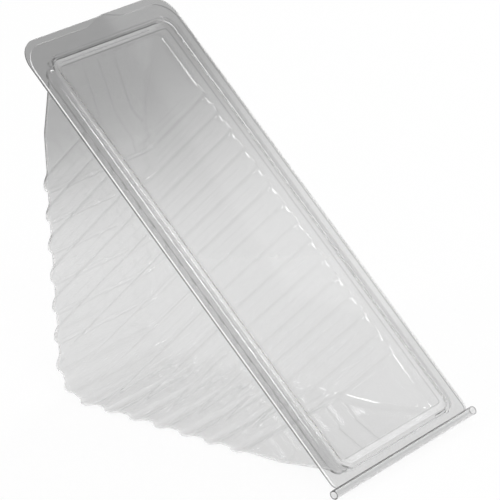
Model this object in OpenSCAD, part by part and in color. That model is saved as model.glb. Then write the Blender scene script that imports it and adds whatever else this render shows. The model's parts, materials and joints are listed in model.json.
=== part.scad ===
// Clear wedge pack for a cut sandwich: a ribbed three-cornered tray and a lid on a folded hinge.
// Both are drawn as they leave the mould, with the flange flat, and then stood on one leg of the wedge.
// Across the pack is x, from the hinge to the finger tabs is u, and z points out of the window.

/* [Sheet] */
// Thickness of the formed clear sheet
sheet = 0.45; // [0.35:0.05:0.6]
// Gap between the flange of the lid and the flange of the tray when shut
flange_gap = 0.3; // [0.2:0.05:0.5]

/* [Flange] */
// Width of the flange across the pack
flange_w = 78.6; // [74:0.2:90]
// Length of the flange from the hinge edge to the tip of the finger tabs
flange_l = 182.7; // [176:0.1:200]
// Corner radius of the flange at the finger tabs
flange_tab_r = 9; // [5:0.5:12]
// Corner radius of the flange beside the hinge
flange_hinge_r = 2.5; // [1:0.25:4]
// How far each finger tab stands out past the edge of the other flange
tab_step = 2.6; // [1:0.1:4]
// Length over which an edge swings from its tab to its set-back half
tab_blend = 11; // [6:1:14]
// How far past the middle the tab of the tray runs on under the tab of the lid
tab_overlap = 11; // [8:0.5:14]

/* [Mouth] */
// Flange from its side edge to the mouth of the tray
mouth_side = 7.7; // [7:0.1:10]
// Flange from the hinge edge to the mouth
mouth_hinge = 4.2; // [4:0.1:8]
// Flange from the tip of the tabs to the mouth
mouth_tab = 10.4; // [9:0.1:14]
// Corner radius of the mouth, seen from above
mouth_r = 4.5; // [4:0.5:9]
// Height of the rim that stands round the mouth
rim_h = 1.2; // [0.8:0.1:1.5]
// Width of the flat top of the rim
rim_w = 1.2; // [1.1:0.1:2]
// Run of the outer slope of the rim
rim_run = 0.3; // [0.2:0.1:0.8]

/* [Wedge] */
// Depth of the smooth band below the flange
band_d = 4.2; // [3:0.1:7]
// Drop of the ledge under the smooth band
ledge_d = 0.5; // [0.2:0.1:1]
// Depth at which the flat faces of the two legs would meet
leg_reach = 92.6; // [88:0.1:96]
// Distance of the apex from the middle of the mouth, towards the finger tabs
apex_shift = 0.8; // [0:0.1:1.5]
// Depth at which each end wall turns into a leg
end_wall_d = 24; // [18:0.5:28]
// Draft of the side walls
draft_deg = 2.6; // [1:0.2:4]
// Radius of the apex between the two legs
apex_r = 12; // [10:1:20]
// Radius between a side wall and a leg
corner_r = 4; // [2:0.5:6]

/* [Ribs] */
// Ribs on each side of the one at the apex
rib_pairs = 7; // [3:1:7]
// Distance from one rib to the next
rib_pitch = 8; // [7:0.25:8.5]
// Width of a rib at its foot
rib_foot = 5.6; // [4:0.1:6.6]
// Width of the crest of a rib
rib_crest = 0.8; // [0.4:0.1:3]
// Height of the ribs on the legs
rib_leg = 1.3; // [0.8:0.1:2]
// Height of the ribs on the side walls
rib_side = 1.3; // [0.6:0.1:1.8]

/* [Lid] */
// Room between the ridge of the lid and the rim of the tray
ridge_clear = 0.3; // [0.3:0.05:0.6]
// Height of the ridge above the flange of the lid
ridge_h = 1.9; // [1.6:0.1:2.6]
// Width of the flat top of the ridge
ridge_w = 1.9; // [1.6:0.1:3]
// Run of the outer slope of the ridge
ridge_run = 0.5; // [0.4:0.1:1]
// Run of the slope from the ridge down to the window
window_run = 2.55; // [1.6:0.05:3]
// Height of the window above the flange of the lid
window_h = 0.4; // [0.2:0.1:1]
// Length that the rounding takes off each side of an edge of the ridge
ridge_ease = 0.3; // [0.2:0.05:0.4]

/* [Hinge] */
// Outer radius of the folded hinge bead
bead_r = 1.6; // [1.4:0.1:2.4]
// Length of the hinge bead across the pack
bead_w = 83; // [80:0.5:96]

/* [Hidden] */
clear_film = [0.86, 0.89, 0.9, 0.45];
leg_deg = 45;
corner_steps = 6;
fillet_steps = 3;
bead_facets = 48;

// Heights of the faces of the two flanges, with z = 0 in the middle of the gap
tray_face = -flange_gap / 2;
lid_face = flange_gap / 2 + sheet;

// Place and half sizes of the mouth
mouth_x = flange_w / 2 - mouth_side;
mouth_half = (flange_l - mouth_hinge - mouth_tab) / 2;
mouth_mid = mouth_hinge + mouth_half;
wedge_mid = mouth_mid + apex_shift;
draft = tan(draft_deg);

function lerp(a, b, f) = a + (b - a) * f;
function clamp(v, low, high) = min(max(v, low), high);
function smooth(f) = f * f * (3 - 2 * f);
function flat(lists) = [for (l = lists) each l];

// Shifts each corner of an open profile by t to its right, with mitred corners
function unit(a, b) = (b - a) / norm(b - a);
function right_of(d) = [d[1], -d[0]];
function mitred(p, t) = [
    for (i = [0:len(p) - 1])
        let (
            before = right_of(i > 0 ? unit(p[i - 1], p[i]) : unit(p[0], p[1])),
            after = right_of(i < len(p) - 1 ? unit(p[i], p[i + 1]) : unit(p[i - 1], p[i]))
        )
        p[i] + (before + after) * t / (1 + before * after)
];

// Rounds each inner corner of an open profile with an arc of three points that takes c off both sides
function eased(p, c) = [
    for (i = [0:len(p) - 1])
        each i == 0 || i == len(p) - 1 ? [p[i]]
            : let (
                before = unit(p[i], p[i - 1]),
                after = unit(p[i], p[i + 1]),
                half = norm(before + after) / 2,
                sag = (1 - sqrt(1 - half * half)) / half
            )
            [p[i] + before * c, p[i] + (before + after) * c * sag / (2 * half), p[i] + after * c]
];

// An outline is four corners [x, u, radius], from the right of the hinge, anticlockwise.
// A spot on it is [corner, angle, share of the straight run to the next corner].
// Between corners 1 and 2, an edge with a finger tab swings about the x that corner 1 adds as a fourth value.
function arc_spot(outline, corner, angle) =
    let (c = outline[corner % 4])
    [c[0] + c[2] * cos(angle), c[1] + c[2] * sin(angle)];
function on_outline(outline, spot) =
    let (
        a = arc_spot(outline, spot[0], spot[1]),
        b = arc_spot(outline, spot[0] + 1, spot[1]),
        x = lerp(a[0], b[0], spot[2]),
        tabbed = spot[0] == 1 && a[1] != b[1],
        f = tabbed ? smooth(clamp(0.5 + (outline[1][3] - x) / tab_blend, 0, 1)) : spot[2]
    )
    [x, lerp(a[1], b[1], f)];
function loop(outline, spots, z) = [for (s = spots) concat(on_outline(outline, s), z)];

// Outline of a flange, with a finger tab on one half of its top edge
function flange_outline(tip_right, tip_left, swing_x) = [
    [flange_w / 2 - flange_hinge_r, flange_hinge_r, flange_hinge_r],
    [flange_w / 2 - flange_tab_r, tip_right - flange_tab_r, flange_tab_r, swing_x],
    [flange_tab_r - flange_w / 2, tip_left - flange_tab_r, flange_tab_r],
    [flange_hinge_r - flange_w / 2, flange_hinge_r, flange_hinge_r]
];

// Outline of the mouth, moved out by o
function mouth_outline(o) =
    let (
        x = mouth_x - mouth_r,
        low = mouth_mid - mouth_half + mouth_r,
        high = mouth_mid + mouth_half - mouth_r,
        r = max(mouth_r + o, 0.5),
        spare = mouth_r + o - r
    )
    [
        [x + spare, low - spare, r],
        [x + spare, high + spare, r],
        [-x - spare, high + spare, r],
        [-x - spare, low - spare, r]
    ];

// Faces between closed loops of n points that follow each other
function strips(loops, n, first = 0) = [
    for (j = [0:loops - 2], k = [0:n - 1])
        let (a = first + j * n, b = a + n, next = (k + 1) % n)
        each [[a + k, b + next, b + k], [a + k, a + next, b + next]]
];

// Profile of an end of the tray, at the distance reach from the apex: place and depth below the flange
band_run = (band_d + rim_h) * draft;
wall_foot = (leg_reach - end_wall_d) / tan(leg_deg);
function end_corners(reach) = [
    [reach, -rim_h],
    [reach - band_run, band_d],
    [reach - band_run - rib_side, band_d + ledge_d],
    [wall_foot, end_wall_d],
    [wall_foot - apex_r, end_wall_d + apex_r * tan(leg_deg)]
];
end_shares = [0.25, 0.55];

// Stations of the end profile on the face that is t outside the inner one, from the rim inwards
function end_profile(reach, t) =
    let (
        c = mitred(end_corners(reach), t),
        rim = [c[0][0], -rim_h + t]
    )
    concat([rim, c[1], c[2]], [for (f = end_shares) lerp(c[2], c[3], f)], [c[3]]);

// Depth of a leg at a distance from the apex, on the face that is t outside the inner one
function leg_depth(a, t) =
    let (reach = leg_reach + t / cos(leg_deg), r = apex_r + t)
    a < r * sin(leg_deg) ? reach - r / cos(leg_deg) + sqrt(r * r - a * a) : reach - a * tan(leg_deg);

// Stations across one rib, up one flank and down the other: place along u and share of the full height
rib_flank = [for (f = [0, 0.35, 0.85]) [lerp(rib_foot, rib_crest, f) / 2, smooth(f)]];
rib_profile = concat(
    [for (p = rib_flank) [-p[0], p[1]]],
    [[0, 1]],
    [for (i = [len(rib_flank) - 1:-1:0]) rib_flank[i]]
);

// All stations from the hinge to the tabs: [place along u from the apex, depth, share of a rib]
function stations(t) =
    let (
        hinge_end = end_profile(mouth_half + apex_shift, t),
        tab_end = end_profile(mouth_half - apex_shift, t),
        ribs = [
            for (i = [-rib_pairs:rib_pairs], p = rib_profile)
                let (s = i * rib_pitch + p[0])
                [s, leg_depth(abs(s), t) + p[1] * rib_leg / cos(leg_deg), p[1]]
        ]
    )
    concat(
        [for (e = hinge_end) [-e[0], e[1], 0]],
        ribs,
        [for (i = [len(tab_end) - 1:-1:0]) [tab_end[i][0], tab_end[i][1], 0]]
    );

// Places of the lines along a leg that lead to the two ends of the swing in the edge of the tray
floor_x = [
    for (end = [1, -1])
        (tab_overlap + end * tab_blend / 2) * (mouth_x - mouth_r) / (flange_w / 2 - flange_tab_r)
];

// Half width of the mouth at a distance from its middle, on the face that is t outside the inner one
function mouth_half_width(a, t) =
    let (r = mouth_r + t, over = a - (mouth_half - mouth_r))
    mouth_x - mouth_r + (over > 0 ? sqrt(max(r * r - over * over, 0)) : r);

// Right half of a cross-section at a station, from the rim to the middle: [x, depth]
function half_section(station, t) =
    let (
        deep = station[1],
        edge = mouth_half_width(abs(station[0] + apex_shift), t),
        step_in = rib_side * (1 - station[2]),
        ledge = band_d + ledge_d + t,
        fillet = clamp(deep - ledge, 0, corner_r + t),
        foot = edge - (max(deep - fillet, ledge) + rim_h) * draft - step_in - corner_r - t
    )
    concat(
        [
            [edge, -rim_h + t],
            [edge - band_run, min(band_d + t, deep)],
            [edge - band_run - step_in, min(ledge, deep)]
        ],
        [
            for (i = [0:fillet_steps])
                let (a = 90 * i / fillet_steps)
                [foot + (corner_r + t) * cos(a), deep - fillet + fillet * sin(a)]
        ],
        [for (x = floor_x) [x, deep]],
        [[0, deep]]
    );

// Whole cross-section from the right edge to the left one, as points in space
function section(station, t) =
    let (half = half_section(station, t), last = len(half) - 1)
    [
        for (i = [0:2 * last])
            let (p = half[i <= last ? i : 2 * last - i], side = i <= last ? 1 : -1)
            [side * p[0], wedge_mid + station[0], tray_face - p[1]]
    ];

// Spots round the mouth that match the edge of the grid of sections, anticlockwise from the hinge's right
function side_spot(s, right) =
    let (
        run = mouth_half - mouth_r,
        turn = asin(clamp((abs(s) - run) / mouth_r, 0, 1)),
        share = (s + run) / (2 * run)
    )
    abs(s) < run ? (right ? [0, 0, share] : [2, 180, 1 - share])
        : s > 0 ? (right ? [1, turn, 0] : [2, 180 - turn, 0])
        : (right ? [0, -turn, 0] : [3, 180 + turn, 0]);
function end_spot(x, tabs) =
    let (run = mouth_x - mouth_r, share = (run - x) / (2 * run))
    tabs ? [1, 90, share] : [3, 270, 1 - share];

// Rim and flange of the tray: [distance out from the mouth, height above the flange]
rim_profile = [[0, -band_d], [0, rim_h], [rim_w, rim_h], [rim_w + rim_run, 0], [mouth_hinge, 0]];

module sheet_solid(points, faces) {
    polyhedron(points = points, faces = faces, convexity = 10);
}

// Half of the folded hinge bead, on the upper or the lower side of the gap
bead_u = sheet - bead_r;
module hinge_lip(side) {
    translate([-bead_w / 2, bead_u, 0])
        rotate([90, 0, 90])
            linear_extrude(height = bead_w)
                difference() {
                    circle(r = bead_r, $fn = bead_facets);
                    circle(r = bead_r - sheet, $fn = bead_facets);
                    translate([-2 * bead_r, side > 0 ? flange_gap / 2 - 4 * bead_r : -flange_gap / 2])
                        square(4 * bead_r);
                }
}

// Stands the flat flange up at the angle of the legs, on the crests of the ribs, midway from front to back
crest_reach = leg_reach + (sheet + rib_leg) / cos(leg_deg) - tray_face;
crest_level = (wedge_mid - crest_reach) * sin(leg_deg);
front = bead_u * cos(leg_deg) - bead_r;
back = (wedge_mid + crest_reach) * cos(leg_deg);
module stand() {
    translate([0, -(front + back) / 2, -crest_level])
        rotate([leg_deg, 0, 0])
            children();
}

// The tray: a sheet drawn down into a ribbed wedge, with a rim, a flange and the lower half of the hinge
module tray() {
    inner = [for (s = stations(0)) section(s, 0)];
    outer = [for (s = stations(sheet)) section(s, sheet)];
    rows = len(inner);
    across = len(inner[0]);
    end_x = [for (p = inner[0]) p[0]];
    places = [for (s = stations(0)) s[0] + apex_shift];
    spots = concat(
        [for (s = places) side_spot(s, true)],
        [for (i = [1:across - 2]) end_spot(end_x[i], true)],
        [for (k = [rows - 1:-1:0]) side_spot(places[k], false)],
        [for (i = [across - 2:-1:1]) end_spot(end_x[i], false)]
    );
    edge = concat(
        [for (k = [0:rows - 1]) k * across],
        [for (i = [1:across - 2]) (rows - 1) * across + i],
        [for (k = [rows - 1:-1:0]) k * across + across - 1],
        [for (i = [across - 2:-1:1]) i]
    );
    n = len(spots);
    under = mitred(rim_profile, sheet);
    rim_flange = flange_outline(flange_l - tab_step, flange_l, tab_overlap);
    loops = [
        loop(mouth_outline(rim_profile[2][0]), spots, tray_face + rim_profile[2][1]),
        loop(mouth_outline(rim_profile[3][0]), spots, tray_face + rim_profile[3][1]),
        loop(rim_flange, spots, tray_face),
        loop(rim_flange, spots, tray_face - sheet),
        loop(mouth_outline(under[3][0]), spots, tray_face + under[3][1]),
        loop(mouth_outline(under[2][0]), spots, tray_face + under[2][1])
    ];
    grid = rows * across;
    first = 2 * grid;
    last = first + (len(loops) - 1) * n;
    wall_faces = [
        for (k = [0:rows - 2], i = [0:across - 2])
            let (a = k * across + i, b = a + across)
            each [
                [a, b + 1, b], [a, a + 1, b + 1],
                [grid + a, grid + b, grid + b + 1], [grid + a, grid + b + 1, grid + a + 1]
            ]
    ];
    join_faces = [
        for (k = [0:n - 1])
            let (next = (k + 1) % n)
            each [
                [edge[k], first + next, first + k], [edge[k], edge[next], first + next],
                [last + k, grid + edge[next], grid + edge[k]], [last + k, last + next, grid + edge[next]]
            ]
    ];
    color(clear_film)
        stand() {
            sheet_solid(
                concat(flat(inner), flat(outer), flat(loops)),
                concat(wall_faces, join_faces, strips(len(loops), n, first))
            );
            hinge_lip(-1);
        }
}

// Ridge and window of the lid: [distance out from the mouth, height above the flange]
ridge_out = rim_w + rim_run + ridge_clear + sheet;
lid_profile = eased(
    [
        [mouth_side, 0],
        [ridge_out, 0],
        [ridge_out - ridge_run, ridge_h],
        [ridge_out - ridge_run - ridge_w, ridge_h],
        [ridge_out - ridge_run - ridge_w - window_run, window_h],
        [-mouth_x, window_h]
    ],
    ridge_ease
);

// The lid: a flat flange, a ridge that caps the rim of the tray, a window and the upper half of the hinge
module lid() {
    tab_runs = 14;
    spots = [
        for (c = [0:3])
            each concat(
                [for (i = [0:corner_steps]) [c, 90 * (c - 1) + 90 * i / corner_steps, 0]],
                c == 1 ? [for (i = [1:tab_runs - 1]) [1, 90, i / tab_runs]] : []
            )
    ];
    n = len(spots);
    under = mitred(lid_profile, -sheet);
    rim = flange_outline(flange_l, flange_l - tab_step, 0);
    inmost = len(lid_profile) - 2;
    loops = concat(
        [for (i = [inmost:-1:1]) loop(mouth_outline(lid_profile[i][0]), spots, lid_face + lid_profile[i][1])],
        [loop(rim, spots, lid_face), loop(rim, spots, lid_face - sheet)],
        [for (i = [1:inmost]) loop(mouth_outline(under[i][0]), spots, lid_face + under[i][1])]
    );
    last = (len(loops) - 1) * n;
    caps = [
        [for (k = [n - 1:-1:0]) k],
        [for (k = [0:n - 1]) last + k]
    ];
    color(clear_film)
        stand() {
            sheet_solid(flat(loops), concat(strips(len(loops), n), caps));
            hinge_lip(1);
        }
}

tray();
lid();
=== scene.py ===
import json
import math

import bmesh
import bpy
import numpy as np
from mathutils import Matrix, Quaternion, Vector


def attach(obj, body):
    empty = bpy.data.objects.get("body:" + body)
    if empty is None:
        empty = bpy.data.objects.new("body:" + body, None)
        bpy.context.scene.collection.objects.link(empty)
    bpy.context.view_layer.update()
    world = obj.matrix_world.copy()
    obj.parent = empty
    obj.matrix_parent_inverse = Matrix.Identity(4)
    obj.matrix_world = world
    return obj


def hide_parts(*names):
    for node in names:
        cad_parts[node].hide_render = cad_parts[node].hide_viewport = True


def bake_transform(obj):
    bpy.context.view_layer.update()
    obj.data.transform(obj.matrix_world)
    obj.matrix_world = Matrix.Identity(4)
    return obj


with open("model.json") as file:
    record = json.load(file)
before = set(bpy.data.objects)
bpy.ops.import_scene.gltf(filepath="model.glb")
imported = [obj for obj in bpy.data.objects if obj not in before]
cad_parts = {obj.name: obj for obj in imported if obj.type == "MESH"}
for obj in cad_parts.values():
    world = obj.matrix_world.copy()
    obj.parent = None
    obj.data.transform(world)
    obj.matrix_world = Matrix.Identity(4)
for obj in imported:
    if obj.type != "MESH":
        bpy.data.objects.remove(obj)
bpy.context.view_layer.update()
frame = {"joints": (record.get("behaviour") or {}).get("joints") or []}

# Tray
# One clear sheet drawn down into a three-cornered wedge. Ribs pressed across both legs and down both
# sides stiffen it, a low rim stands round its mouth and the rest of the sheet is left as a flat flange.
sheet = 0.00045
flange_gap = 0.0003
flange_w = 0.0786
flange_l = 0.1827
flange_tab_r = 0.009
flange_hinge_r = 0.0025
tab_step = 0.0026
tab_blend = 0.011
tab_overlap = 0.011
mouth_side = 0.0077
mouth_hinge = 0.0042
mouth_tab = 0.0104
mouth_r = 0.0045
rim_h = 0.0012
rim_w = 0.0012
rim_run = 0.0003
rim_r = 0.0004
band_d = 0.0042
ledge_d = 0.0005
ledge_r = 0.0004
leg_reach = 0.0926
apex_shift = 0.0008
end_wall_d = 0.024
end_wall_r = 0.006
draft = math.tan(math.radians(2.6))
apex_r = 0.012
corner_r = 0.004
rib_pairs = 7
rib_pitch = 0.008
rib_foot = 0.0056
rib_crest = 0.0008
rib_leg = 0.0013
rib_side = 0.0013
row_step = 0.0007
leg_angle = math.radians(45)

tray_face = -flange_gap / 2
lid_face = flange_gap / 2 + sheet
mouth_x = flange_w / 2 - mouth_side
mouth_half = (flange_l - mouth_hinge - mouth_tab) / 2
mouth_mid = mouth_hinge + mouth_half
wedge_mid = mouth_mid + apex_shift
band_run = (band_d + rim_h) * draft
ledge = band_d + ledge_d
wall_foot = (leg_reach - end_wall_d) / math.tan(leg_angle)


def rounded(corners, radii, turns=5):
    """Points along an open run of corners, with an arc of the given radius at each inner corner."""
    points = [Vector(corners[0])]
    for before, corner, after, radius in zip(corners, corners[1:], corners[2:], radii):
        middle = Vector(corner)
        back = (Vector(before) - middle).normalized()
        ahead = (Vector(after) - middle).normalized()
        half = back.angle(ahead) / 2
        centre = middle + (back + ahead).normalized() * radius / math.sin(half)
        start = middle + back * radius / math.tan(half) - centre
        sweep = start.angle_signed(middle + ahead * radius / math.tan(half) - centre)
        for i in range(turns + 1):
            points.append(centre + Matrix.Rotation(-sweep * i / turns, 2) @ start)
    points.append(Vector(corners[-1]))
    return np.array(points)


def resampled(points, count, sizes=None):
    """The same run as count points, spaced by the wanted size of each of its steps."""
    steps = np.linalg.norm(np.diff(points[:, :2], axis=0), axis=1) / (1.0 if sizes is None else sizes)
    along = np.concatenate([[0.0], np.cumsum(steps)])
    places = np.linspace(0.0, along[-1], count)
    return np.stack([np.interp(places, along, column) for column in points.T], axis=1)


def mouth_half_width(s):
    """Half width of the mouth at a distance along the pack from its middle."""
    over = max(abs(s) - (mouth_half - mouth_r), 0.0)
    return mouth_x - mouth_r + math.sqrt(max(mouth_r**2 - over**2, 0.0))


band_points = 9
wall_points = 26
wall_step = 0.006
fillet_step = 0.0008
floor_step = 0.004
fillet_turns = 10
spine_turns = 12
shallow_spare = 0.0003
shallow = ledge + corner_r + shallow_spare


def half_section(s, deep):
    """Right half of a cross-section from the rim to the middle: x, depth and the turn from wall to leg."""
    edge = mouth_half_width(s + apex_shift)
    full = max(deep, shallow)
    top = np.array([(edge, -rim_h + rim_r)])
    band = [(edge, -rim_h), (edge - band_run, band_d), (edge - band_run - rib_side, ledge)]
    foot = edge - (full + rim_h) * draft - rib_side
    upper = rounded([*band, (foot, full)], [ledge_r, ledge_r])
    upper = np.concatenate([top, upper[1:-1]])
    lower = rounded([upper[-1], (foot, full), (0.0, full)], [corner_r], fillet_turns)
    turn = np.concatenate([[0.0], np.linspace(0.0, math.pi / 2, fillet_turns + 1), [math.pi / 2]])
    lower = np.column_stack([lower, turn])
    sizes = np.array([wall_step, *[fillet_step] * fillet_turns, floor_step])
    upper = resampled(np.column_stack([upper, np.zeros(len(upper))]), band_points)
    points = np.concatenate([upper, resampled(lower, wall_points, sizes)[1:]])
    below = points[:, 1] > ledge
    squash = max(deep - ledge, 0.0) / (full - ledge)
    points[below, 1] = ledge + (points[below, 1] - ledge) * squash
    points[:, 1] = np.minimum(points[:, 1], deep)
    return points


def end_corners(reach):
    """Corners of an end of the wedge from the rim to the leg, as distance from the apex and depth."""
    return [
        (reach, -rim_h + rim_r),
        (reach - band_run, band_d),
        (reach - band_run - rib_side, ledge),
        (wall_foot, end_wall_d),
    ]


hinge_end = [(-s, deep) for s, deep in end_corners(mouth_half + apex_shift)]
tab_end = end_corners(mouth_half - apex_shift)[::-1]
end_radii = [ledge_r, ledge_r, end_wall_r, apex_r, end_wall_r, ledge_r, ledge_r]
spine = rounded([*hinge_end, (0.0, leg_reach), *tab_end], end_radii, spine_turns)
spine_length = np.linalg.norm(np.diff(spine, axis=0), axis=1).sum()
rows = resampled(spine, 2 * round(spine_length / row_step / 2) + 1)


least_mouth_r = 0.0005


def mouth_outline(out):
    """The mouth moved out by a distance, as four corners of x, u and radius, from the hinge's right."""
    radius = max(mouth_r + out, least_mouth_r)
    spare = mouth_r + out - radius
    x = mouth_x - mouth_r + spare
    low = mouth_mid - mouth_half + mouth_r - spare
    high = mouth_mid + mouth_half - mouth_r + spare
    return [(x, low, radius), (x, high, radius), (-x, high, radius), (-x, low, radius)]


def flange_outline(tip_right, tip_left, swing_x):
    """The cut edge of a flange as four corners, and where it swings from its tab to its other half."""
    x = flange_w / 2
    return [
        (x - flange_hinge_r, flange_hinge_r, flange_hinge_r),
        (x - flange_tab_r, tip_right - flange_tab_r, flange_tab_r),
        (flange_tab_r - x, tip_left - flange_tab_r, flange_tab_r),
        (flange_hinge_r - x, flange_hinge_r, flange_hinge_r),
        swing_x,
    ]


def on_outline(outline, spot):
    """Point of an outline at a corner, an angle there and a share of the run to the next corner."""
    corner, angle, share = spot
    ends = [outline[corner % 4], outline[(corner + 1) % 4]]
    a, b = [Vector((x + r * math.cos(angle), u + r * math.sin(angle))) for x, u, r in ends]
    point = a.lerp(b, share)
    if corner == 1 and a.y != b.y:
        swing = min(max(0.5 + (outline[4] - point.x) / tab_blend, 0.0), 1.0)
        point.y = a.y + (b.y - a.y) * swing * swing * (3 - 2 * swing)
    return point


def side_spot(s, right):
    """Spot of the mouth at a distance along the pack from its middle, on its right or its left."""
    run = mouth_half - mouth_r
    turn = math.asin(min(max((abs(s) - run) / mouth_r, 0.0), 1.0))
    share = (s + run) / (2 * run)
    if abs(s) < run:
        return (0, 0.0, share) if right else (2, math.pi, 1 - share)
    if s > 0:
        return (1, turn, 0.0) if right else (2, math.pi - turn, 0.0)
    return (0, -turn, 0.0) if right else (3, math.pi + turn, 0.0)


def end_spot(x, tabs):
    """Spot of the mouth on one of its ends."""
    run = mouth_x - mouth_r
    share = min(max((run - x) / (2 * run), 0.0), 1.0)
    return (1, math.pi / 2, share) if tabs else (3, 1.5 * math.pi, 1 - share)


flange_steps = 5


def flange_loops(profile, outline, spots, level):
    """Loops of points that follow a profile out from the mouth and then run flat to the cut edge."""
    loops = []
    for out, height in profile:
        outline_here = mouth_outline(out)
        loops.append([(*on_outline(outline_here, spot), level + height) for spot in spots])
    edge = [Vector((*on_outline(outline, spot), level + profile[-1][1])) for spot in spots]
    start = [Vector(point) for point in loops[-1]]
    for i in range(1, flange_steps + 1):
        loops.append([a.lerp(b, i / flange_steps) for a, b in zip(start, edge)])
    return loops


def joined(mesh, loop, outer_loops):
    """Adds loops of new points outside a loop of vertices, with faces between each two."""
    for points in outer_loops:
        outer = [mesh.verts.new(point) for point in points]
        for k in range(len(loop)):
            n = (k + 1) % len(loop)
            mesh.faces.new((loop[k], outer[k], outer[n], loop[n]))
        loop = outer
    return loop


rim_profile = rounded(
    [(0.0, 0.0), (0.0, rim_h), (rim_w, rim_h), (rim_w + rim_run, 0.0), (rim_w + 2 * rim_run, 0.0)],
    [rim_r, rim_r, rim_r / 2],
)[2:]
tray_skin = bmesh.new()
turn_layer = tray_skin.verts.layers.float.new("turn")
grid = []
for s, deep in rows:
    half = half_section(s, deep)
    across = np.concatenate([half, half[-2::-1] * np.array([-1.0, 1.0, 1.0])])
    line = []
    for x, depth, turn in across:
        vert = tray_skin.verts.new((x, wedge_mid + s, tray_face - depth))
        vert[turn_layer] = turn
        line.append(vert)
    grid.append(line)
for near, far in zip(grid, grid[1:]):
    for i in range(len(near) - 1):
        tray_skin.faces.new((near[i], far[i], far[i + 1], near[i + 1]))
brim = [line[0] for line in grid]
brim += grid[-1][1:-1]
brim += [line[-1] for line in reversed(grid)]
brim += grid[0][-2:0:-1]
brim_spots = [side_spot(s + apex_shift, True) for s, _ in rows]
brim_spots += [end_spot(vert.co.x, True) for vert in grid[-1][1:-1]]
brim_spots += [side_spot(s + apex_shift, False) for s, _ in rows[::-1]]
brim_spots += [end_spot(vert.co.x, False) for vert in grid[0][-2:0:-1]]
tray_edge = flange_outline(flange_l - tab_step, flange_l, tab_overlap)
joined(tray_skin, brim, flange_loops(rim_profile, tray_edge, brim_spots, tray_face))


class Wire:
    """A socket that comes out of a node, with the sums that the shapes and finishes here use."""

    def __init__(self, board, socket):
        self.board = board
        self.socket = socket

    def out(self, name):
        return Wire(self.board, self.socket.node.outputs[name])

    def math(self, operation, *others):
        return self.board.add("ShaderNodeMath", {"operation": operation}, enumerate((self, *others)))

    def __add__(self, other):
        return self.math("ADD", other)

    def __radd__(self, other):
        return self.math("ADD", other)

    def __sub__(self, other):
        return self.math("SUBTRACT", other)

    def __rsub__(self, other):
        return (self * -1) + other

    def __mul__(self, other):
        return self.math("MULTIPLY", other)

    def __rmul__(self, other):
        return self.math("MULTIPLY", other)

    def __truediv__(self, other):
        return self.math("DIVIDE", other)

    def __neg__(self):
        return self * -1


class Board:
    """A node tree to which nodes are added with their settings first and then their sockets."""

    def __init__(self, tree):
        self.tree = tree

    def add(self, kind, settings=(), sockets=()):
        node = self.tree.nodes.new(kind)
        for name, value in dict(settings).items():
            setattr(node, name, value)
        for name, value in dict(sockets).items():
            if isinstance(value, Wire):
                self.tree.links.new(value.socket, node.inputs[name])
            else:
                node.inputs[name].default_value = value
        return Wire(self, node.outputs[0]) if node.outputs else None

    def grey(self, tone):
        return self.add("ShaderNodeCombineColor", {}, {"Red": tone, "Green": tone, "Blue": tone})


wave_height = 0.0004
haze_scale = 160.0
haze_detail = 3.0
haze_spread = 0.03
gloss_roughness = 0.01
coat_ior = 1.5
coat_roughness = 0.06


def clear_sheet(name, tone, ior, coat, fold_shade=0.0, clear=1.0, wave=30.0, wave_strength=0.008):
    """Clear formed plastic: smooth, faintly hazy in places, and with painted shade darkening its sharp
    bends.
    """
    material = bpy.data.materials.new(name)
    material.use_nodes = True
    material.node_tree.nodes.clear()
    board = Board(material.node_tree)
    place = board.add("ShaderNodeTexCoord").out("Object")
    waves = board.add("ShaderNodeTexNoise", {}, {"Vector": place, "Scale": wave, "Detail": 0.0})
    haze_sockets = {"Vector": place, "Scale": haze_scale, "Detail": haze_detail}
    haze = board.add("ShaderNodeTexNoise", {}, haze_sockets)
    bump_sockets = {"Height": waves, "Strength": wave_strength, "Distance": wave_height}
    bump = board.add("ShaderNodeBump", {}, bump_sockets)
    colour = (tone, tone, tone, 1.0)
    # Painted shade: the base colour is darkened where the sheet bends sharply, standing in for the dark
    # lines seen along its folds.
    if fold_shade:
        fold = board.add("ShaderNodeAttribute", {"attribute_name": "fold"}).out("Fac")
        colour = board.grey(tone - fold * (tone * fold_shade))
    shader = board.add(
        "ShaderNodeBsdfPrincipled",
        {},
        {
            "Base Color": colour,
            "Roughness": haze * haze_spread + gloss_roughness,
            "IOR": ior,
            "Transmission Weight": clear,
            "Coat Weight": coat,
            "Coat IOR": coat_ior,
            "Coat Roughness": coat_roughness,
            "Normal": bump,
        },
    )
    board.add("ShaderNodeOutputMaterial", {}, {"Surface": shader})
    return material


rib_inputs = {
    "Middle": wedge_mid,
    "Pairs": float(rib_pairs),
    "Pitch": rib_pitch,
    "Foot": rib_foot,
    "Crest": rib_crest,
    "Leg height": rib_leg / math.cos(leg_angle),
    "Side height": rib_side,
    "Band": band_d - tray_face,
    "Ledge": ledge + ledge_r - tray_face,
}
rib_tree = bpy.data.node_groups.new("pressed_ribs", "GeometryNodeTree")
rib_tree.interface.new_socket("Geometry", in_out="INPUT", socket_type="NodeSocketGeometry")
rib_tree.interface.new_socket("Geometry", in_out="OUTPUT", socket_type="NodeSocketGeometry")
rib_sockets = {}
for name in rib_inputs:
    socket = rib_tree.interface.new_socket(name, in_out="INPUT", socket_type="NodeSocketFloat")
    rib_sockets[name] = socket.identifier
board = Board(rib_tree)
given = board.add("NodeGroupInput")
place = board.add("ShaderNodeSeparateXYZ", {}, {"Vector": board.add("GeometryNodeInputPosition")})
along = place.out("Y") - given.out("Middle")
nearest = (along / given.out("Pitch")).math("ROUND")
nearest = nearest.math("MINIMUM", given.out("Pairs")).math("MAXIMUM", -given.out("Pairs"))
away = (along - nearest * given.out("Pitch")).math("ABSOLUTE")
rise = board.add(
    "ShaderNodeMapRange",
    {"interpolation_type": "SMOOTHSTEP"},
    {"Value": away, "From Min": given.out("Foot") * 0.5, "From Max": given.out("Crest") * 0.5},
)
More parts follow.
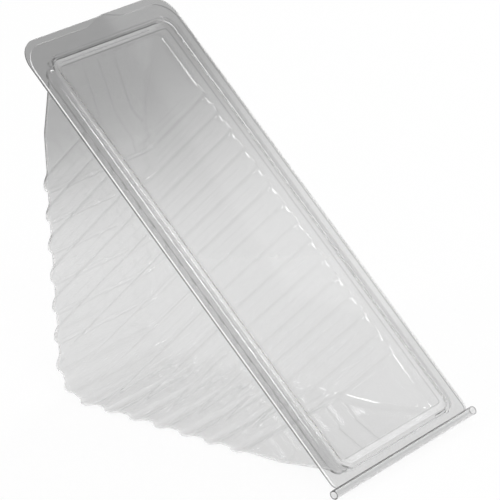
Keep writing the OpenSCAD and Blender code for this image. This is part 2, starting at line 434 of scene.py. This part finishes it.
start = board.add(
    "ShaderNodeMapRange",
    {"interpolation_type": "SMOOTHSTEP"},
    {"Value": -place.out("Z"), "From Min": given.out("Band"), "From Max": given.out("Ledge")},
)
turn = board.add("GeometryNodeInputNamedAttribute", {"data_type": "FLOAT"}, {"Name": "turn"})
height = rise * start
outwards = height * turn.math("COSINE") * given.out("Side height") * place.out("X").math("SIGN")
downwards = height * turn.math("SINE") * given.out("Leg height")
push = board.add("ShaderNodeCombineXYZ", {}, {"X": outwards, "Z": -downwards})
pressed = board.add("GeometryNodeSetPosition", {}, {"Geometry": given.out("Geometry"), "Offset": push})
tray_material = clear_sheet("clear_tray_sheet", tone=0.855, ior=1.12, coat=0.95, fold_shade=0.13)
whole = board.add("GeometryNodeRealizeInstances", {}, {"Geometry": pressed})
finished = board.add("GeometryNodeSetMaterial", {}, {"Geometry": whole, "Material": tray_material})
board.add("NodeGroupOutput", {}, {"Geometry": finished})

bead_r = 0.0016
fold_clear = 0.0001
fold_u = sheet - 2 * bead_r - fold_clear
fold_place = Vector(frame["joints"][0]["pos_m"])
stand = Matrix.Rotation(leg_angle, 4, "X") @ Matrix.Translation((0, -fold_u, 0))
stand = Matrix.Translation(fold_place) @ stand
sharp_angle = math.radians(50)

# Light is caught in the thickness of a clear sheet, so a cut edge in shade looks darker than the faces;
# here that dark line is painted shade, a dark base colour on the cut edges.
tray_cut = clear_sheet("painted_shade_cut_edge", tone=0.18, ior=1.04, coat=0.3)

# Bends in radians per metre, from where the painted shade of a fold starts to show to where it shows in
# full.
fold_least = 500.0
fold_most = 1300.0
least_step = 1e-6


def mark_folds(mesh, low, high):
    """Gives each face in a box a value from 0 to 1 for how sharply the sheet bends in it, the mask of the
    painted fold shade.
    """
    corners = np.empty(len(mesh.loops), dtype=np.int32)
    mesh.loops.foreach_get("vertex_index", corners)
    places = np.empty(len(mesh.vertices) * 3)
    mesh.vertices.foreach_get("co", places)
    places = places.reshape(-1, 3)[corners]
    normals = np.empty(len(mesh.loops) * 3)
    mesh.corner_normals.foreach_get("vector", normals)
    normals = normals.reshape(-1, 3)
    starts = np.empty(len(mesh.polygons), dtype=np.int32)
    mesh.polygons.foreach_get("loop_start", starts)
    following = np.arange(1, len(corners) + 1)
    following[np.append(starts[1:], len(corners)) - 1] = starts
    turns = np.arccos(np.clip((normals * normals[following]).sum(axis=1), -1.0, 1.0))
    lengths = np.linalg.norm(places[following] - places, axis=1)
    bends = np.maximum.reduceat(turns / np.maximum(lengths, least_step), starts)
    marks = np.clip((bends - fold_least) / (fold_most - fold_least), 0.0, 1.0)
    starting = places[starts]
    marks *= np.all((starting > low) & (starting < high), axis=1)
    mesh.attributes.new("fold", "FLOAT", "FACE").data.foreach_set("value", marks)


def stood_up(name, skin, material, cut, folds, ribs=None):
    """Gives a skin its ribs and thickness, marks its folds in a box and stands it up as the pack stands."""
    bmesh.ops.recalc_face_normals(skin, faces=skin.faces)
    if sum(face.normal.z * face.calc_area() for face in skin.faces) < -flange_gap * flange_gap:
        bmesh.ops.reverse_faces(skin, faces=skin.faces)
    skin_mesh = bpy.data.meshes.new(name + "_skin")
    skin.to_mesh(skin_mesh)
    skin.free()
    skin_object = bpy.data.objects.new(name + "_skin", skin_mesh)
    bpy.context.scene.collection.objects.link(skin_object)
    skin_mesh.materials.append(material)
    skin_mesh.materials.append(cut)
    if ribs:
        modifier = skin_object.modifiers.new("ribs", "NODES")
        modifier.node_group = ribs
        for socket_name, identifier in rib_sockets.items():
            modifier[identifier] = rib_inputs[socket_name]
    wall = skin_object.modifiers.new("wall", "SOLIDIFY")
    wall.thickness = sheet
    wall.offset = -1.0
    wall.use_even_offset = True
    wall.material_offset_rim = 1
    evaluated = skin_object.evaluated_get(bpy.context.evaluated_depsgraph_get())
    mesh = bpy.data.meshes.new_from_object(evaluated)
    bpy.data.objects.remove(skin_object)
    mesh.name = name
    for polygon in mesh.polygons:
        polygon.use_smooth = True
    mesh.set_sharp_from_angle(angle=sharp_angle)
    mark_folds(mesh, *folds)
    mesh.transform(stand)
    piece = bpy.data.objects.new(name, mesh)
    bpy.context.scene.collection.objects.link(piece)
    return piece


wedge_folds = [(-flange_w, 0.0, -flange_l), (flange_w, flange_l, tray_face - 2 * ledge)]
tray = stood_up("tray_sheet", tray_skin, tray_material, tray_cut, wedge_folds, rib_tree)
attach(tray, "tray")
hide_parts("tray")

# Lid
# The other end of the same sheet, folded over the tray: a flat flange, a raised ridge that caps the rim
# of the tray, and a flat window sunk inside the ridge. Its finger tab is on the right.
ridge_clear = 0.0003
ridge_h = 0.0019
ridge_w = 0.0019
ridge_run = 0.0005
ridge_r = 0.0005
ridge_outer_r = 0.0008
window_run = 0.00255
window_h = 0.0004
window_core = 0.002
window_steps = 8
corner_points = 14
run_points = [40, 48, 40, 16]

ridge_out = rim_w + rim_run + ridge_clear + sheet
ridge_top = ridge_out - ridge_run
window_edge = ridge_top - ridge_w - window_run
lid_profile = rounded(
    [
        (window_core - mouth_x, window_h),
        (window_edge, window_h),
        (ridge_top - ridge_w, ridge_h),
        (ridge_top, ridge_h),
        (ridge_out, 0.0),
        (ridge_out + ridge_run, 0.0),
    ],
    [ridge_r, ridge_r, ridge_outer_r, ridge_r],
)
window_outs = np.linspace(lid_profile[0][0], lid_profile[1][0], window_steps, endpoint=False)
lid_profile = np.concatenate([[(out, window_h) for out in window_outs], lid_profile[1:]])
lid_spots = []
for corner, points in enumerate(run_points):
    end_angle = math.pi / 2 * corner
    angles = np.linspace(end_angle - math.pi / 2, end_angle, corner_points + 1)
    lid_spots += [(corner, angle, 0.0) for angle in angles]
    lid_spots += [(corner, end_angle, i / points) for i in range(1, points)]
lid_edge = flange_outline(flange_l, flange_l - tab_step, 0.0)
lid_loops = flange_loops(lid_profile, lid_edge, lid_spots, lid_face)
lid_skin = bmesh.new()
core = [lid_skin.verts.new(point) for point in lid_loops[0]]
lid_skin.faces.new(core)
joined(lid_skin, core, lid_loops[1:])
lid_material = clear_sheet("clear_lid_sheet", tone=0.895, ior=1.04, coat=0.6, fold_shade=0.3)
# The cut edge of the lid lies in the light: its bright line is a painted highlight, a pale, mostly opaque
# finish on the cut edge.
lid_cut = clear_sheet("painted_highlight_lid_edge", tone=0.97, ior=1.04, coat=0.6, clear=0.25)
fold_x = mouth_x + ridge_top - ridge_w / 2
fold_half = mouth_half + ridge_top - ridge_w / 2
window_folds = [(-fold_x, mouth_mid - fold_half, 0.0), (fold_x, mouth_mid + fold_half, flange_l)]
lid = stood_up("lid_sheet", lid_skin, lid_material, lid_cut, window_folds)
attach(lid, "lid")
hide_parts("lid")

# Hinge bead
# The strip of the same sheet between tray and lid, formed into an open tube that the lid folds about. It is
# a little wider than the flanges, and the outside of the tube is the line that bends.
bead_w = 0.083
bead_step = 0.003
bead_turns = 40
bead_u = sheet - bead_r
bead_neck = math.asin((flange_gap + sheet) / 2 / (bead_r - sheet / 2))
bead_columns = 2 * round(bead_w / bead_step / 2) + 1
bead_skin = bmesh.new()
bead_places = np.linspace(-bead_w / 2, bead_w / 2, bead_columns)
bead_lines = []
for i in range(bead_turns + 1):
    angle = -bead_neck - (2 * math.pi - 2 * bead_neck) * i / bead_turns
    u = bead_u + bead_r * math.cos(angle)
    z = bead_r * math.sin(angle)
    bead_lines.append([bead_skin.verts.new((x, u, z)) for x in bead_places])
for near, far in zip(bead_lines, bead_lines[1:]):
    for k in range(bead_columns - 1):
        bead_skin.faces.new((near[k], near[k + 1], far[k + 1], far[k]))
bead_material = clear_sheet(
    "clear_bead_sheet", tone=0.82, ior=1.08, coat=0.9, fold_shade=0.1, wave=70.0, wave_strength=1.0
)
bead_folds = [(-bead_w, -2 * bead_r, -2 * bead_r), (bead_w, 0.0, 2 * bead_r)]
bead = stood_up("hinge_bead", bead_skin, bead_material, tray_cut, bead_folds)
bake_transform(bead)

# Studio
# A pale floor, soft boxes, a camera where the photograph was taken from, and a grey card that only the
# clear sheet shows: it stands behind the pack and is darkest high up on the left.
floor_mesh = bpy.data.meshes.new("floor")
floor_half = 4.0
floor_tone = (0.9, 0.9, 0.9, 1.0)
floor_glow = 0.94
floor_corners = [(-1, -1), (1, -1), (1, 1), (-1, 1)]
floor_mesh.from_pydata([(x * floor_half, y * floor_half, 0) for x, y in floor_corners], [], [(0, 1, 2, 3)])
floor = bpy.data.objects.new("floor", floor_mesh)
bpy.context.scene.collection.objects.link(floor)
floor_paint = bpy.data.materials.new("floor_paint")
floor_paint.use_nodes = True
floor_paint.node_tree.nodes.clear()
board = Board(floor_paint.node_tree)
light_path = board.add("ShaderNodeLightPath")
seen = light_path.out("Is Camera Ray").math("MAXIMUM", light_path.out("Is Glossy Ray"))
seen = seen.math("MAXIMUM", light_path.out("Is Transmission Ray"))
lit = board.add("ShaderNodeBsdfDiffuse", {}, {"Color": floor_tone})
glow = board.add("ShaderNodeEmission", {}, {"Color": (1.0, 1.0, 1.0, 1.0), "Strength": 1.0})
mixed = board.add("ShaderNodeMixShader", {}, {0: seen * floor_glow, 1: lit, 2: glow})
board.add("ShaderNodeOutputMaterial", {}, {"Surface": mixed})
floor_mesh.materials.append(floor_paint)

sky_rise = 0.35
horizon_tone = 1.0
sky_tone = 0.45
world = bpy.data.worlds.new("studio")
world.use_nodes = True
world.node_tree.nodes.clear()
board = Board(world.node_tree)
direction = board.add("ShaderNodeTexCoord").out("Generated")
up = board.add("ShaderNodeSeparateXYZ", {}, {"Vector": direction}).out("Z")
tone = board.add(
    "ShaderNodeMapRange",
    {"interpolation_type": "SMOOTHSTEP"},
    {"Value": up, "From Min": 0.0, "From Max": sky_rise, "To Min": horizon_tone, "To Max": sky_tone},
)
sky = board.add("ShaderNodeBackground", {}, {"Color": board.grey(tone), "Strength": 1.0})
board.add("ShaderNodeOutputWorld", {}, {"Surface": sky})
bpy.context.scene.world = world


pack_middle = Vector((0.0, 0.0, 0.065))


def soft_box(name, place, width, height, power, roll=0.0):
    """A rectangular lamp at a place, turned to the middle of the pack and rolled about its aim."""
    lamp = bpy.data.lights.new(name, "AREA")
    lamp.shape = "RECTANGLE"
    lamp.size = width
    lamp.size_y = height
    lamp.energy = power
    holder = bpy.data.objects.new(name, lamp)
    holder.location = place
    holder.rotation_mode = "QUATERNION"
    facing = (pack_middle - Vector(place)).to_track_quat("-Z", "Y")
    holder.rotation_quaternion = facing @ Quaternion((0, 0, 1), math.radians(roll))
    bpy.context.scene.collection.objects.link(holder)


soft_box("key_box", (-0.866, -0.69, 1.11), width=1.0, height=0.36, power=11.0, roll=34.4)
soft_box("side_box", (-1.0, 0.6, 0.7), width=0.25, height=0.4, power=4.0)
soft_box("rim_box", (1.0, 0.05, 0.85), width=0.16, height=0.16, power=3.4)
soft_box("foot_box", (1.0, 0.29, 0.81), width=0.12, height=0.12, power=1.8)

photo_azimuth = math.radians(-52.854)
photo_elevation = math.radians(20.243)
photo_roll = math.radians(-1.183)
photo_focal = 2862.6
photo_side = 500
photo_place = Vector((-0.72711, -0.55216, 0.39871))
sensor_w = 36.0
camera_near = 0.01
camera_data = bpy.data.cameras.new("photo_camera")
camera_data.sensor_fit = "HORIZONTAL"
camera_data.sensor_width = sensor_w
camera_data.lens = photo_focal / photo_side * sensor_w
camera_data.clip_start = camera_near
camera = bpy.data.objects.new("photo_camera", camera_data)
camera.location = photo_place
turn_up = Matrix.Rotation(math.pi / 2 - photo_elevation, 4, "X")
camera.rotation_euler = (
    Matrix.Rotation(photo_azimuth, 4, "Z") @ turn_up @ Matrix.Rotation(photo_roll, 4, "Z")
).to_euler()
bpy.context.scene.collection.objects.link(camera)
bpy.context.scene.camera = camera
bpy.context.scene.view_settings.view_transform = "Standard"

card_w = 0.7
card_h = 0.3
card_back = 0.16
card_side = 0.03
card_lean = 7.5
card_dark_level = 0.092
card_light = 0.97
card_dark = 0.43
# The card is painted shade: a glowing sheet that lamps don't light and the camera doesn't see, put behind
# the pack only so that the clear sheet looks darker, most of all high up on the left.
card_mesh = bpy.data.meshes.new("grey_card")
card_mesh.from_pydata(
    [(-card_w / 2, 0, 0), (card_w / 2, 0, 0), (card_w / 2, 0, card_h), (-card_w / 2, 0, card_h)],
    [],
    [(0, 1, 2, 3)],
)
card_mesh.transform(Matrix.Rotation(photo_azimuth, 4, "Z") @ Matrix.Translation((0, card_back, 0)))
card = bpy.data.objects.new("grey_card", card_mesh)
bpy.context.scene.collection.objects.link(card)
card.visible_camera = False
card.visible_diffuse = False
card.visible_shadow = False
card_paint = bpy.data.materials.new("card_paint")
card_paint.use_nodes = True
card_paint.node_tree.nodes.clear()
board = Board(card_paint.node_tree)
card_point = board.add("ShaderNodeTexCoord").out("Object")
card_axes = board.add("ShaderNodeSeparateXYZ", {}, {"Vector": card_point})
to_right = card_axes.out("X") * math.cos(photo_azimuth) + card_axes.out("Y") * math.sin(photo_azimuth)
level = card_axes.out("Z") * (1 - (to_right + card_side) * card_lean)
shade = board.add(
    "ShaderNodeMapRange",
    {"interpolation_type": "SMOOTHSTEP"},
    {"Value": level, "From Max": card_dark_level, "To Min": card_light, "To Max": card_dark},
)
card_glow = board.add("ShaderNodeEmission", {}, {"Color": board.grey(shade), "Strength": 1.0})
board.add("ShaderNodeOutputMaterial", {}, {"Surface": card_glow})
card_mesh.materials.append(card_paint)
